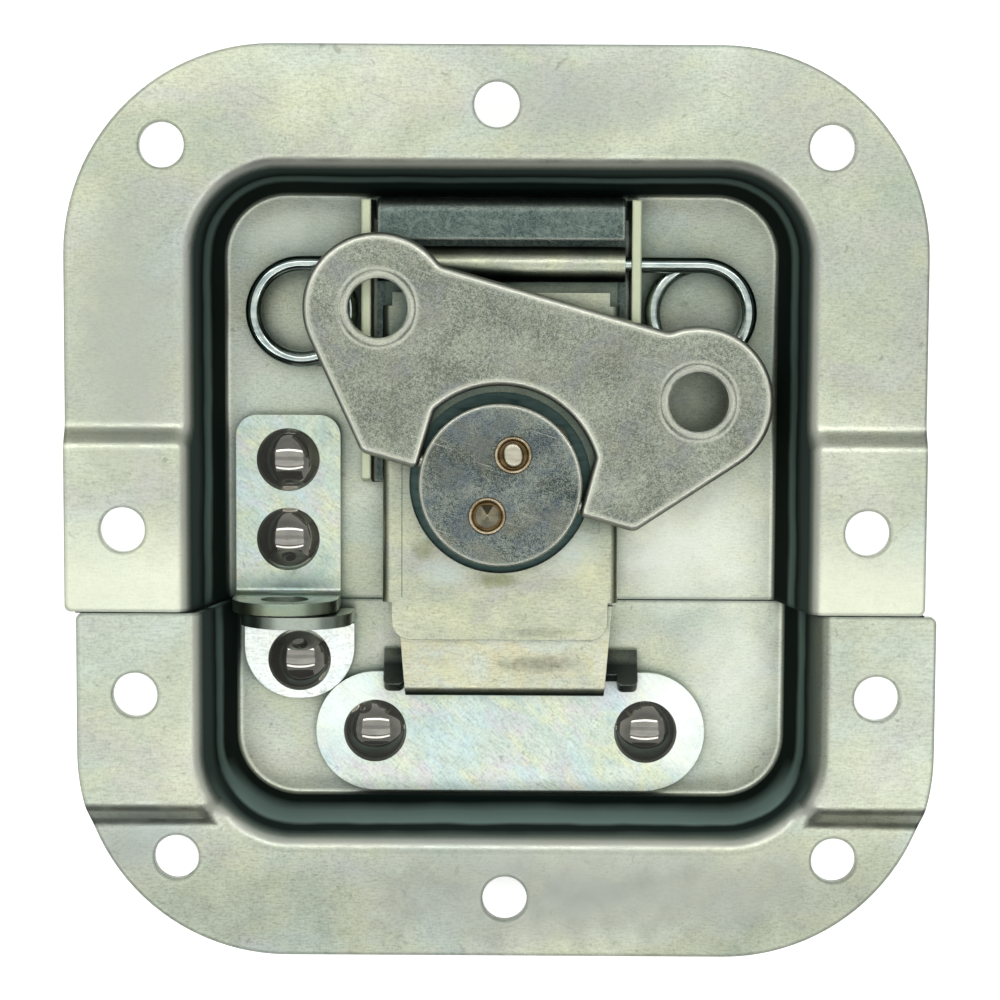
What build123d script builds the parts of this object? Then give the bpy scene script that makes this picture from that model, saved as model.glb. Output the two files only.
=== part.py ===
from build123d import *
from math import asin, atan2, cos, hypot, radians, sin, sqrt, tan
import os

os.makedirs("parts", exist_ok=True)

# A recessed butterfly latch for a flight case, lying face up, in millimetres. Two pressed
# dishes meet at the lid line: the latch dish (+Y) carries the turning mechanism, and the
# keeper dish (-Y) carries the strike plate that the hook pulls on. +Z points out of the case,
# and the origin is the middle of the back. Distances along Y are taken from the lid line.

# ---- The two dishes ----
side_flange = 17.6  # from the recess floor out to the side of the flange
latch_flange = 17.5  # from the recess floor out to the far edge of the latch dish
keeper_flange = 17.4
split_gap = 0.15  # daylight between the two dishes
side_play = 1.4  # the keeper dish stands this far to the right of the latch dish
dish_sheet = 1.2
recess_depth = 14.0
wing_rise = 1.5  # the flange on both sides of the lid line is pressed up by this
wing_reach_latch = 21.6  # lid line to the middle of the joggle
wing_reach_keeper = 25.2
joggle_run = 2.2
joggle_bend_step = 0.1  # the joggle bends this much wider than the mouth
outer_corner = 25.5
lid_line_corner = 0.8
recess_shift = 0.6  # the recess stands this far to the right of its flange
floor_margin_side = 2.9  # floor left beside a spring coil
floor_margin_latch = 0.6  # beyond the frame bracket
floor_margin_keeper = 0.8  # beyond the strike plate
recess_draft = 11.5  # degrees that the walls lean outwards
recess_corner = 8.0
mouth_bend = 2.4
floor_bend = 0.8
screw_hole = 2.75  # radius of the flange holes
corner_hole_side = 11.95  # from the side of the flange
corner_hole_inset = 12.2  # from the far edge
middle_hole_inset = 7.2
wing_hole_side = 7.15
wing_hole_reach = 10.15  # from the lid line

# ---- The frame bracket on the latch floor ----
frame_sheet = 1.2
frame_bend = 0.4  # inside radius of its folds
ear_play = 0.8  # between an ear and the arm's barrel
ear_start = 15.0
ear_short = 0.2  # the ears stop this far short of the web's face
ear_lean = 0.9  # the front edge of an ear leans back by this
ear_height = 5.0  # above the bracket's base
web_inset = 0.85  # daylight between the web and each ear
web_stand = 3.0  # from the hinge to the folded edge of the web
web_depth = 5.2
fold_relief = 0.5
frame_rivet_reaches = (21.5, 37.5)

# ---- The hinge wire with its two spring coils ----
wire_radius = 1.0
hinge_reach = 42.6
coil_stand = 0.6  # between an ear and the coil beside it
coil_radius = 6.0
coil_gap = 0.08  # daylight between two turns
coil_half_turns = 3
leg_stub = 1.0  # how far a leg reaches inside its ear
wire_play = 0.08  # between the wire and the barrel round it
wire_seat = 0.05  # between the wire and the ears
leg_play = 0.2
wire_lift = 0.11  # daylight between the lowest turn and the dish floor

# ---- The arm: a base plate with the hinge barrel, and the cover folded over it ----
arm_sheet = 1.15
arm_step = 0.1  # the base plate is this much narrower than the cover, each side
arm_near = 0.4
barrel_step = 0.8  # the barrel is this much wider than the base plate, each side
barrel_wrap = 290.0  # degrees that the plate curls round the wire
cover_sheet = 1.1
cover_bend = 0.1
cover_plate_step = 1.2  # its plate is this much narrower than its walls, each side
cover_plate_stand = 3.5  # from the hinge to the far edge of its plate
cover_wall_stand = 5.2
cover_flap = 4.7  # how far its front flap overhangs the arm
flap_corner = 2.3
cover_hole_play = 1.2  # round the disc

# ---- The tongue, which slides between them ----
tongue_sheet = 1.2
tongue_side_play = 0.7  # between the tongue and the cover's walls
tongue_far_rim = 2.2  # metal left beyond its slot
tongue_shift = 0.65  # its hook stands this far to the right of the mechanism
tongue_shoulder_step = 0.6  # its shoulders are this much wider, each side
tongue_hook_step = 1.0  # its hook is this much narrower than the shoulders, each side
tongue_joggle = 1.5
tongue_joggle_start = 2.6
tongue_shoulder = -0.1
hook_reach = 11.75  # its outer face from the lid line
hook_bend = 0.9
hook_clear = 0.5  # under the tip of the hook
tongue_travel = 4.5
stud_radius = 1.25

# ---- The rotor ----
rotor_reach = 15.45
cam_step = 1.1  # the cam plate reaches this far under the rim of the cover's hole
cam_margin = 0.5  # the tongue is this much wider than the cam plate, each side
cam_thickness = 1.4
core_step = 1.1  # the disc overhangs the core by this
spigot_radius = 2.2
unlock_turn = 130.0  # degrees that the rotor turns to throw the tongue
groove_start = 4.6  # radius at which the stud stands when locked
groove_points = 9
disc_radius = 10.1
disc_thickness = 1.4
disc_edge = 0.35
rotor_rivet_offset = 4.09
rotor_rivet_angle = 67.2
rotor_rivet_shank = 1.6
rotor_rivet_head = 2.35
rotor_rivet_rise = 0.35
rotor_rivet_roll = 0.1  # how far its rolled ring is undercut
rotor_rivet_depth = 3.0  # how deep it reaches into the core

# ---- The butterfly ----
wing_turn = 16.0  # degrees clockwise that the handle stands from square
wing_thickness = 3.0
lobe_spread = 20.55  # half the distance between the finger holes
lobe_reach = 16.7
lobe_radius = 9.3
finger_hole = 3.7
finger_rim = 0.9
finger_rim_rise = 0.35
wing_top = 23.9
wing_foot = 17.6
wing_below = 1.0  # it reaches this far below its own hinge
wing_foot_corner = 1.5
wing_kink = 1.6
notch_play = 2.1  # between the disc and the crown of the notch
notch_side_play = 0.25
notch_corner = 0.8
wing_edge = 0.8
trunnion_radius = 0.9
trunnion_length = 4.6

# ---- The strike plate on the keeper floor ----
strike_sheet = 1.5
strike_margin = 10.1  # from the side of the recess floor to the end of the plate
strike_height = 15.3
strike_stand = 10.55  # from the nose of the fold to the middle of the plate
strike_rivet_inset = 7.55  # from the end of the plate
lip_play = 1.0  # the hook passes this far from each horn, were it not shifted
lip_run = 2.93  # from the nose of the fold to the upper edge of the lip
lip_clear = 0.32  # between the lip and the hook
horn_clear = 0.27  # between the horns and the tongue above them
lip_lean = 42.0  # degrees that the lip stands up from the plate
lip_nose = 0.5
horn_width = 2.6
horn_length = 1.6
horn_round = 0.8

# ---- The two padlock brackets ----
lug_sheet = 1.5
lug_fold = 0.8
lug_inset = 8.0  # from the side of the recess floor to the middle of a bracket
lug_height = 12.3  # above the dish floor
eye_radius = 3.0
eye_height = 7.1  # above the dish floor
latch_lug_face = 0.8  # its outer face stands this far past the lid line
lug_gap = 0.2  # between the faces of the two lugs
latch_lug_width = 13.3
latch_lug_far = 23.5
latch_lug_corner = 2.7
latch_lug_top = 6.2
latch_lug_rivets = (17.8, 7.7)
keeper_lug_width = 14.0
keeper_lug_back = 4.15  # its end lies this far short of the middle of the strike plate
keeper_lug_corner = 6.7
keeper_lug_top = 6.5
keeper_rivet_inset = 5.0  # from the end of the lower bracket

# ---- Rivets ----
rivet_shank = 2.0
rivet_tail = 3.0  # radius of the tail, which is flush with the back
dome_radius = 4.0
dome_rise = 1.9
flat_rivet_shank = 1.5
flat_rivet_end = 2.4
rivet_seat = 0.05  # round a shank in its hole

# ---- Gaps in the stack ----
plate_gap = 0.1  # between plates that slide on each other
rotor_gap = 0.15
wing_gap = 0.25
spigot_play = 0.05
groove_play = 0.08
slot_play = 0.2
trunnion_play = 0.1
clear = 1.0  # how far a cutting body reaches past what it cuts
same = 0.01  # two levels closer than this are one

# ---- Worked out from the above: widths, from the rotor outwards ----
core_radius = disc_radius - core_step
notch_radius = disc_radius + notch_play
notch_half_width = disc_radius + notch_side_play
cover_hole = disc_radius + cover_hole_play
cam_radius = cover_hole + cam_step
tongue_inner_width = 2 * (cam_radius + cam_margin)
tongue_shoulder_width = tongue_inner_width + 2 * tongue_shoulder_step
tongue_hook_width = tongue_shoulder_width - 2 * tongue_hook_step
cover_width = tongue_inner_width + 2 * (tongue_side_play + cover_sheet)
cover_plate_width = cover_width - 2 * cover_plate_step
arm_width = cover_width - 2 * arm_step
barrel_length = arm_width + 2 * barrel_step
ear_gap = barrel_length + 2 * ear_play
web_width = ear_gap - 2 * web_inset
coil_offset = ear_gap / 2 + frame_sheet + coil_stand + wire_radius + coil_radius
recess_floor_width = 2 * (coil_offset + coil_radius + wire_radius + floor_margin_side)
dish_width = recess_floor_width + 2 * side_flange
corner_hole_spacing = dish_width - 2 * corner_hole_side
wing_hole_spacing = dish_width - 2 * wing_hole_side
lip_width = tongue_hook_width + 2 * (lip_play + horn_width)
lug_offset = recess_floor_width / 2 - lug_inset
strike_width = recess_floor_width - 2 * strike_margin
strike_rivet_spacing = strike_width - 2 * strike_rivet_inset

# ---- Distances from the lid line ----
web_near = hinge_reach + web_stand
web_far = web_near + web_depth
ear_end = web_far - ear_short
cover_plate_far = hinge_reach - cover_plate_stand
cover_wall_far = hinge_reach - cover_wall_stand
recess_floor_latch = web_far + floor_margin_latch
latch_height = recess_floor_latch + latch_flange  # to the far edge of the latch dish
lip_angle = radians(lip_lean)
lip_across = strike_sheet * sin(lip_angle)
lip_down = strike_sheet * cos(lip_angle)
lip_end = hook_reach - tongue_sheet - lip_clear - lip_across
lip_fold = lip_end - lip_run
strike_reach = lip_fold + strike_stand
keeper_lug_far = strike_reach - keeper_lug_back
keeper_lug_rivet = keeper_lug_far - keeper_rivet_inset
recess_floor_keeper = strike_reach + strike_height / 2 + floor_margin_keeper
keeper_height = recess_floor_keeper + keeper_flange  # to the far edge of the keeper dish
split_y = (keeper_height - latch_height) / 2

# ---- Middles across the latch, and levels ----
latch_x = -side_play / 2
keeper_x = side_play / 2
mechanism_x = latch_x + recess_shift
strike_x = keeper_x + recess_shift

floor_top = dish_sheet
rim_top = dish_sheet + recess_depth
frame_top = floor_top + frame_sheet
ear_top = frame_top + ear_height
hinge_z = floor_top + wire_radius + (2 * wire_radius + coil_gap) * coil_half_turns / 2
hinge_z += wire_lift
barrel_inner = wire_radius + wire_play
barrel_outer = barrel_inner + arm_sheet
arm_bottom = hinge_z - barrel_outer
arm_top = arm_bottom + arm_sheet
tongue_bottom = arm_top + plate_gap
tongue_top = tongue_bottom + tongue_sheet
cam_bottom = tongue_top + rotor_gap
cam_top = cam_bottom + cam_thickness
cover_bottom = cam_top + rotor_gap
cover_top = cover_bottom + cover_sheet
wing_bottom = cover_top + wing_gap
pivot_z = wing_bottom + wing_thickness / 2
core_top = pivot_z + trunnion_radius + 2 * trunnion_play
disc_top = core_top + disc_thickness
strike_top = floor_top + strike_sheet
lug_base_top = floor_top + lug_sheet
hook_tip = strike_top + hook_clear
horn_run = horn_length * cos(lip_angle)
horn_up = horn_length * sin(lip_angle)
lip_face_z = tongue_bottom + tongue_joggle - horn_clear - horn_up  # upper edge of the lip


def latch_plane(height):
    """A level plane of the mechanism, whose origin is over the lid line."""
    return Plane((mechanism_x, split_y, height))


def keeper_plane(height):
    """A level plane of the keeper's recess, whose origin is over the lid line."""
    return Plane((strike_x, split_y, height))


def rotor_plane(height):
    """A level plane centred on the rotor."""
    return Plane((mechanism_x, split_y + rotor_reach, height))


def wing_plane(height):
    """A level plane centred on the rotor, whose X is the butterfly's own hinge."""
    across = (cos(radians(wing_turn)), -sin(radians(wing_turn)), 0)
    return Plane((mechanism_x, split_y + rotor_reach, height), x_dir=across)


def side_plane(x, towards=1):
    """An upright plane whose local X runs from the lid line to the latch (1) or keeper (-1)."""
    return Plane((x, split_y, 0), x_dir=(0, towards, 0), z_dir=(towards, 0, 0))


def front_plane(x, y):
    """An upright plane across the latch, with +Z up in it and its normal towards the keeper."""
    return Plane((x, split_y + y, 0), x_dir=(1, 0, 0), z_dir=(0, -1, 0))


def back_plane(x, y):
    """A plane on the back of the dishes, facing away from them, for holes drilled from behind."""
    return Plane((x, split_y + y, 0), x_dir=(1, 0, 0), z_dir=(0, 0, -1))


# ---- Dishes ----
def pressed_form(flange_x, towards, height, wing_reach, floor_reach, drop):
    """All that lies under the upper face of a dish (drop 0) or under its lower face."""
    lean = radians(recess_draft)
    spread = drop * (1 - sin(lean)) / cos(lean)
    level = rim_top - drop
    floor = floor_top - drop
    run_out = outer_corner
    mouth_half = recess_floor_width / 2 + spread + (recess_depth + wing_rise) * tan(lean)
    mouth_reach = floor_reach + spread + recess_depth * tan(lean)
    with BuildPart() as form:
        with BuildSketch(side_plane(flange_x, towards)):
            with BuildLine():
                FilletPolyline(
                    (-clear, level + wing_rise),
                    (wing_reach - joggle_run / 2, level + wing_rise),
                    (wing_reach + joggle_run / 2, level),
                    (height + clear, level),
                    radius=mouth_bend + joggle_bend_step,
                )
                Polyline(
                    (height + clear, level),
                    (height + clear, -clear),
                    (-clear, -clear),
                    (-clear, level + wing_rise),
                )
            make_face()
        extrude(amount=dish_width, both=True)
        with BuildSketch(Plane((flange_x + recess_shift, split_y, floor))):
            with Locations((0, towards * (floor_reach + spread - run_out) / 2)):
                RectangleRounded(
                    recess_floor_width + 2 * spread,
                    floor_reach + spread + run_out,
                    recess_corner + spread,
                )
        extrude(amount=rim_top + 2 * wing_rise, taper=-recess_draft, mode=Mode.SUBTRACT)

        def inside(edge):
            spot = edge.center()
            reach = (spot.Y - split_y) * towards
            return abs(spot.X - flange_x - recess_shift) < mouth_half + clear and (
                0 < reach < mouth_reach + clear
            )

        rims = form.edges().filter_by(inside)
        mouth = rims.filter_by(lambda edge: edge.center().Z > level - drop / 2 - same)
        fillet(mouth, radius=mouth_bend - drop)
        rims = form.edges().filter_by(inside)
        foot = rims.filter_by(lambda edge: abs(edge.center().Z - floor) < same)
        fillet(foot, radius=floor_bend + drop)
    return form.part


def pressed_dish(flange_x, towards, height, wing_reach, floor_reach):
    """A dish of one thickness, with its flange trimmed and drilled."""
    upper = pressed_form(flange_x, towards, height, wing_reach, floor_reach, 0)
    lower = pressed_form(flange_x, towards, height, wing_reach, floor_reach, dish_sheet)
    near = split_gap / 2
    far = near + height
    with BuildPart() as dish:
        add(upper)
        add(lower, mode=Mode.SUBTRACT)
        with BuildSketch(Plane((flange_x, split_y, 0))) as outline:
            with Locations((0, towards * (near + far) / 2)):
                Rectangle(dish_width, height)
            ends = outline.vertices().group_by(Axis.Y)
            fillet(ends[-1] if towards > 0 else ends[0], radius=outer_corner)
            ends = outline.vertices().group_by(Axis.Y)
            fillet(ends[0] if towards > 0 else ends[-1], radius=lid_line_corner)
        extrude(amount=rim_top + wing_rise + clear, mode=Mode.INTERSECT)
        corner_y = split_y + towards * (far - corner_hole_inset)
        middle_y = split_y + towards * (far - middle_hole_inset)
        wing_y = split_y + towards * wing_hole_reach
        top = rim_top + wing_rise
        with Locations(
            (flange_x - corner_hole_spacing / 2, corner_y, top),
            (flange_x + corner_hole_spacing / 2, corner_y, top),
            (flange_x - wing_hole_spacing / 2, wing_y, top),
            (flange_x + wing_hole_spacing / 2, wing_y, top),
            (flange_x, middle_y, top),
        ):
            Hole(screw_hole)
    return dish.part


latch_shell = pressed_dish(latch_x, 1, latch_height, wing_reach_latch, recess_floor_latch)
keeper_shell = pressed_dish(keeper_x, -1, keeper_height, wing_reach_keeper, recess_floor_keeper)

latch_lug_x = mechanism_x - lug_offset
keeper_lug_x = strike_x - lug_offset
frame_rivet_spots = [(mechanism_x, reach) for reach in frame_rivet_reaches]
latch_dome_spots = [(latch_lug_x, reach) for reach in latch_lug_rivets]
strike_dome_spots = [
    (strike_x + side * strike_rivet_spacing / 2, -strike_reach) for side in (-1, 1)
]
keeper_dome_spots = strike_dome_spots + [(keeper_lug_x, -keeper_lug_rivet)]

with BuildPart() as latch_dish:
    add(latch_shell)
    with Locations(*[back_plane(x, y) for x, y in latch_dome_spots]):
        CounterSinkHole(rivet_shank + rivet_seat, rivet_tail + rivet_seat, counter_sink_angle=90)
    with Locations(*[back_plane(x, y) for x, y in frame_rivet_spots]):
        CounterSinkHole(
            flat_rivet_shank + rivet_seat, flat_rivet_end + rivet_seat, counter_sink_angle=90
        )

with BuildPart() as keeper_dish:
    add(keeper_shell)
    with Locations(*[back_plane(x, y) for x, y in keeper_dome_spots]):
        CounterSinkHole(rivet_shank + rivet_seat, rivet_tail + rivet_seat, counter_sink_angle=90)

# ---- Frame bracket: a base with two ears, and a web that rises and folds back ----
leg_y = hinge_reach - 2 * coil_radius
leg_z = hinge_z - (2 * wire_radius + coil_gap) * coil_half_turns / 2
ear_middle = (ear_gap + frame_sheet) / 2
base_middle = floor_top + frame_sheet / 2
fold_middle = frame_bend + frame_sheet / 2

with BuildPart() as frame_bracket:
    with BuildSketch(front_plane(mechanism_x, ear_end)):
        with BuildLine():
            FilletPolyline(
                (-ear_middle, ear_top),
                (-ear_middle, base_middle),
                (ear_middle, base_middle),
                (ear_middle, ear_top),
                radius=fold_middle,
            )
        trace(line_width=frame_sheet)
    extrude(amount=ear_end - ear_start)
    with BuildSketch(side_plane(mechanism_x)):
        with BuildLine():
            Polyline(
                (ear_start, frame_top),
                (ear_start + ear_lean, ear_top + clear),
                (ear_start - clear, ear_top + clear),
                (ear_start - clear, frame_top),
                close=True,
            )
        make_face()
    extrude(amount=dish_width / 2, both=True, mode=Mode.SUBTRACT)
    relief_start = web_far - frame_sheet - frame_bend - clear
    with BuildSketch(latch_plane(floor_top - clear)):
        with Locations((0, (relief_start + web_far + clear) / 2)):
            Rectangle(web_width + 2 * fold_relief, web_far + clear - relief_start)
    extrude(amount=frame_sheet + 2 * clear, mode=Mode.SUBTRACT)
    with BuildSketch(side_plane(mechanism_x)):
        with BuildLine():
            FilletPolyline(
                (relief_start, base_middle),
                (web_far - frame_sheet / 2, base_middle),
                (web_far - frame_sheet / 2, ear_top - frame_sheet / 2),
                (web_near, ear_top - frame_sheet / 2),
                radius=fold_middle,
            )
        trace(line_width=frame_sheet)
    extrude(amount=web_width / 2, both=True)
    with BuildSketch(side_plane(mechanism_x)):
        with Locations((hinge_reach, hinge_z)):
            Circle(wire_radius + wire_seat)
    extrude(amount=dish_width / 2, both=True, mode=Mode.SUBTRACT)
    window_inside = ear_gap / 2 - leg_stub - leg_play
    window_width = dish_width / 2 - window_inside
    window_height = leg_z + wire_radius + leg_play - floor_top + clear
    with BuildSketch(latch_plane(floor_top - clear)):
        for side in (-1, 1):
            with Locations((side * (window_inside + window_width / 2), leg_y)):
                Rectangle(window_width, 2 * (wire_radius + leg_play))
    extrude(amount=window_height, mode=Mode.SUBTRACT)
    with Locations(*[(x, split_y + y, frame_top) for x, y in frame_rivet_spots]):
        CounterSinkHole(
            flat_rivet_shank + rivet_seat,
            flat_rivet_end + rivet_seat,
            depth=frame_sheet + clear,
            counter_sink_angle=90,
        )

# ---- Spring wire: the hinge pin, with a coil and a leg at each end ----
half_turn_drop = (2 * wire_radius + coil_gap) / 2
half_turn_radius = hypot(coil_radius, half_turn_drop / 2)

with BuildPart() as spring_wire:
    with BuildLine(Plane((mechanism_x, split_y, 0))) as wire_path:
        Line((0, hinge_reach, hinge_z), (coil_offset, hinge_reach, hinge_z))
        for turn in range(coil_half_turns):
            outward = 1 if turn % 2 == 0 else -1
            start_y = hinge_reach - (coil_radius - outward * coil_radius)
            end_y = hinge_reach - (coil_radius + outward * coil_radius)
            start_z = hinge_z - turn * half_turn_drop
            middle = (
                coil_offset + outward * half_turn_radius,
                hinge_reach - coil_radius,
                start_z - half_turn_drop / 2,
            )
            ThreePointArc(
                (coil_offset, start_y, start_z),
                middle,
                (coil_offset, end_y, start_z - half_turn_drop),
            )
        Line((coil_offset, leg_y, leg_z), (ear_gap / 2 - leg_stub, leg_y, leg_z))
    with BuildSketch(Plane((mechanism_x, split_y + hinge_reach, hinge_z), z_dir=(1, 0, 0))):
        Circle(wire_radius)
    sweep(path=wire_path.line)
    mirror(about=Plane.YZ.offset(mechanism_x))

# ---- Arm base: a plate whose far end curls round the wire ----
curl_middle = barrel_inner + arm_sheet / 2

with BuildPart() as arm_base:
    with BuildSketch(side_plane(mechanism_x)):
        with BuildLine():
            Line((arm_near, hinge_z - curl_middle), (hinge_reach, hinge_z - curl_middle))
            CenterArc((hinge_reach, hinge_z), curl_middle, -90, barrel_wrap)
        trace(line_width=arm_sheet)
    extrude(amount=barrel_length / 2, both=True)
    trim = (barrel_length - arm_width) / 2
    trim_far = hinge_reach - barrel_outer
    with BuildSketch(latch_plane(arm_bottom - clear)):
        for side in (-1, 1):
            with Locations((side * (arm_width + trim) / 2, (arm_near + trim_far) / 2)):
                Rectangle(trim, trim_far - arm_near)
    extrude(amount=arm_sheet + 2 * clear, mode=Mode.SUBTRACT)
    with Locations((mechanism_x, split_y + rotor_reach, arm_top)):
        Hole(spigot_radius + spigot_play, depth=arm_sheet + clear)

# ---- Arm cover ----
cover_middle_z = cover_top - cover_sheet / 2
cover_wall_middle = (cover_width - cover_sheet) / 2

with BuildPart() as arm_cover:
    with BuildSketch(front_plane(mechanism_x, cover_wall_far)):
        with BuildLine():
            FilletPolyline(
                (-cover_wall_middle, arm_top),
                (-cover_wall_middle, cover_middle_z),
                (cover_wall_middle, cover_middle_z),
                (cover_wall_middle, arm_top),
                radius=cover_bend + cover_sheet / 2,
            )
        trace(line_width=cover_sheet)
    extrude(amount=cover_wall_far - arm_near)
    with BuildSketch(latch_plane(cover_bottom)) as plate:
        with Locations((0, (cover_plate_far + arm_near - cover_flap) / 2)):
            Rectangle(cover_plate_width, cover_plate_far - arm_near + cover_flap)
        fillet(plate.vertices().group_by(Axis.Y)[0], radius=flap_corner)
    extrude(amount=cover_sheet)
    with Locations((mechanism_x, split_y + rotor_reach, cover_top)):
        Hole(cover_hole, depth=cover_sheet)

# ---- Tongue: a plate that steps up past the arm and turns down into the hook ----
tongue_middle = tongue_bottom + tongue_sheet / 2
raised_middle = tongue_middle + tongue_joggle
hook_middle = hook_reach - tongue_sheet / 2
slot_radius = spigot_radius + slot_play
tongue_far = rotor_reach + tongue_travel + slot_radius + tongue_far_rim

with BuildPart() as tongue:
    with BuildSketch(side_plane(mechanism_x)):
        with BuildLine():
            FilletPolyline(
                (tongue_far, tongue_middle),
                (tongue_joggle_start, tongue_middle),
                (tongue_joggle_start - tongue_joggle, raised_middle),
                (-hook_middle, raised_middle),
                (-hook_middle, hook_tip),
                radius=hook_bend,
            )
        trace(line_width=tongue_sheet)
    extrude(amount=dish_width / 2, both=True)
    with BuildSketch(latch_plane(0)):
        with Locations((0, (tongue_far + tongue_shoulder) / 2)):
            Rectangle(tongue_inner_width, tongue_far - tongue_shoulder)
        with BuildLine():
            Polyline(
                (tongue_shift - tongue_shoulder_width / 2, tongue_shoulder),
                (tongue_shift + tongue_shoulder_width / 2, tongue_shoulder),
                (tongue_shift + tongue_hook_width / 2, -hook_reach),
                (tongue_shift - tongue_hook_width / 2, -hook_reach),
                close=True,
            )
        make_face()
    extrude(amount=rim_top, mode=Mode.INTERSECT)
    with BuildSketch(latch_plane(tongue_bottom)):
        with Locations((0, rotor_reach + tongue_travel / 2)):
            SlotCenterToCenter(tongue_travel, 2 * slot_radius, rotation=90)
        with Locations((0, rotor_reach - groove_start)):
            Circle(stud_radius + rivet_seat)
    extrude(amount=tongue_sheet, mode=Mode.SUBTRACT)

with BuildPart() as follower_stud:
    with BuildSketch(latch_plane(tongue_bottom)):
        with Locations((0, rotor_reach - groove_start)):
            Circle(stud_radius)
    extrude(amount=cam_top - rotor_gap - tongue_bottom)

# ---- Rotor body: the spigot, the cam plate with its spiral groove, and the core ----
rivet_direction = radians(rotor_rivet_angle)
rotor_rivet_spots = [
    (
        side * rotor_rivet_offset * cos(rivet_direction),
        side * rotor_rivet_offset * sin(rivet_direction),
    )
    for side in (1, -1)
]

with BuildPart() as rotor_body:
    with BuildSketch(rotor_plane(arm_bottom)):
        Circle(spigot_radius)
    extrude(amount=cam_bottom - arm_bottom)
    with BuildSketch(rotor_plane(cam_bottom)):
        Circle(cam_radius)
    extrude(amount=cam_thickness)
    with BuildSketch(rotor_plane(cam_top)):
        Circle(core_radius)
    extrude(amount=core_top - cam_top)
    with BuildSketch(rotor_plane(cam_bottom)):
        with BuildLine() as spiral:
            steps = [step / (groove_points - 1) for step in range(groove_points)]
            radii = [groove_start + tongue_travel * step for step in steps]
            turns = [radians(unlock_turn * step - 90) for step in steps]
            Spline(*[(r * cos(a), r * sin(a)) for r, a in zip(radii, turns)])
        trace(line_width=2 * (stud_radius + groove_play))
        with Locations(spiral.line @ 0, spiral.line @ 1):
            Circle(stud_radius + groove_play)
    extrude(amount=cam_thickness, mode=Mode.SUBTRACT)
    pocket_start = notch_half_width - trunnion_length - trunnion_play
    pocket_radius = trunnion_radius + trunnion_play
    for side in (-1, 1):
        lie = wing_plane(pivot_z)
        pocket = Plane(
            lie.origin + lie.x_dir * side * pocket_start,
            x_dir=lie.y_dir * side,
            z_dir=lie.x_dir * side,
        )
        with BuildSketch(pocket):
            Circle(pocket_radius)
            with Locations((0, pocket_radius)):
                Rectangle(2 * pocket_radius, 2 * pocket_radius)
        extrude(amount=core_radius, mode=Mode.SUBTRACT)
    with BuildSketch(rotor_plane(core_top)):
        with Locations(*rotor_rivet_spots):
            Circle(rotor_rivet_shank + rivet_seat)
    extrude(amount=-rotor_rivet_depth, mode=Mode.SUBTRACT)

with BuildPart() as rotor_disc:
    with BuildSketch(rotor_plane(core_top)):
        Circle(disc_radius)
        with Locations(*rotor_rivet_spots):
            Circle(rotor_rivet_shank + rivet_seat, mode=Mode.SUBTRACT)
    extrude(amount=disc_thickness)
    rim = rotor_disc.edges().filter_by(GeomType.CIRCLE).sort_by(SortBy.RADIUS)[-2:]
    fillet(rim.sort_by(Axis.Z)[-1], radius=disc_edge)


def rotor_rivet(spot):
    """A tubular rivet, rolled over into a ring on the disc."""
    x, y = spot
    foot = core_top - rotor_rivet_depth
    crown = disc_top + rotor_rivet_rise
    bowl_radius = rotor_rivet_shank - rotor_rivet_roll
    bowl_z = disc_top + rotor_rivet_roll
    with BuildPart() as rivet:
        with BuildSketch(front_plane(mechanism_x + x, rotor_reach + y)):
            with BuildLine():
                Polyline(
                    (0, foot),
                    (rotor_rivet_shank, foot),
                    (rotor_rivet_shank, disc_top),
                    (rotor_rivet_head, disc_top),
                )
                ThreePointArc(
                    (rotor_rivet_head, disc_top),
                    ((rotor_rivet_head + rotor_rivet_shank) / 2 + rotor_rivet_roll, crown),
                    (bowl_radius, bowl_z),
                )
                Polyline((bowl_radius, bowl_z), (0, bowl_z), (0, foot))
            make_face()
        revolve(axis=Axis((mechanism_x + x, split_y + rotor_reach + y, 0), (0, 0, 1)))
    return rivet.part


with BuildPart() as rotor_rivet_front:
    add(rotor_rivet(rotor_rivet_spots[1]))

with BuildPart() as rotor_rivet_rear:
    add(rotor_rivet(rotor_rivet_spots[0]))

# ---- Butterfly: two lobes with finger holes, on two trunnions ----
kink_u = lobe_spread - sqrt(lobe_radius**2 - (wing_top - lobe_reach) ** 2)
notch_shoulder = sqrt(notch_radius**2 - notch_half_width**2)
foot_to_lobe = hypot(lobe_spread - wing_foot, lobe_reach + wing_below)
flank_lean = atan2(lobe_reach + wing_below, lobe_spread - wing_foot)
flank_lean -= asin(lobe_radius / foot_to_lobe)
flank_length = sqrt(foot_to_lobe**2 - lobe_radius**2)
flank_end = (
    wing_foot + flank_length * cos(flank_lean),
    flank_length * sin(flank_lean) - wing_below,
)


def lobe_point(direction):
    """A point on the outline of the right lobe, by its direction from the finger hole."""
    turn = radians(direction)
    return (lobe_spread + lobe_radius * cos(turn), lobe_reach + lobe_radius * sin(turn))


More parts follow.
